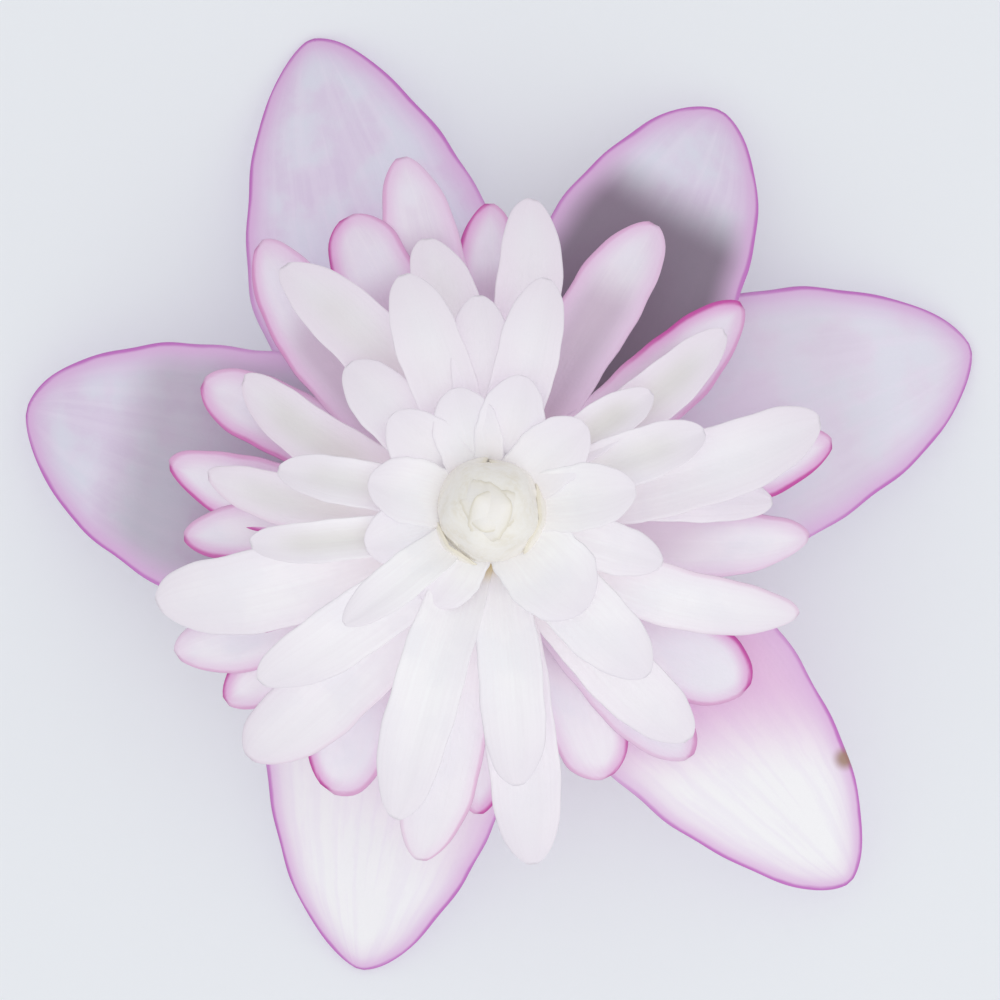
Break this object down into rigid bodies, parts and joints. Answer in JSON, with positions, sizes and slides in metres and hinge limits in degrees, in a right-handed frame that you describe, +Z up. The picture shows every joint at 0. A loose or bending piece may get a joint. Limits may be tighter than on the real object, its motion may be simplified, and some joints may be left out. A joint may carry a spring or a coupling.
{
  "type": "double hepatica flower",
  "caption": "Picked double hepatica bloom lying face up: broad tepals, whorls of narrow petaloids, a tight centre knot, bracts and a cut stem stub.",
  "frame": {"origin": "on the surface the bloom lies on, under the middle of its bounding box", "axes": "+Z up out of the bloom's face, +Y and +X across the face"},
  "size_m": [0.0404, 0.0398, 0.0126],
  "materials": {
    "tepal": "satin",
    "petaloid": "satin",
    "knot": "satin",
    "bract": "matte",
    "stem": "matte"
  },
  "bodies": {
    "root": {"tepal_1": "tepal", "tepal_2": "tepal", "tepal_3": "tepal", "tepal_4": "tepal", "tepal_5": "tepal", "tepal_6": "tepal", "petaloids": "petaloid", "centre_knot": "knot", "bract_1": "bract", "bract_2": "bract", "bract_3": "bract", "stem": "stem"}
  },
  "joints": []
}
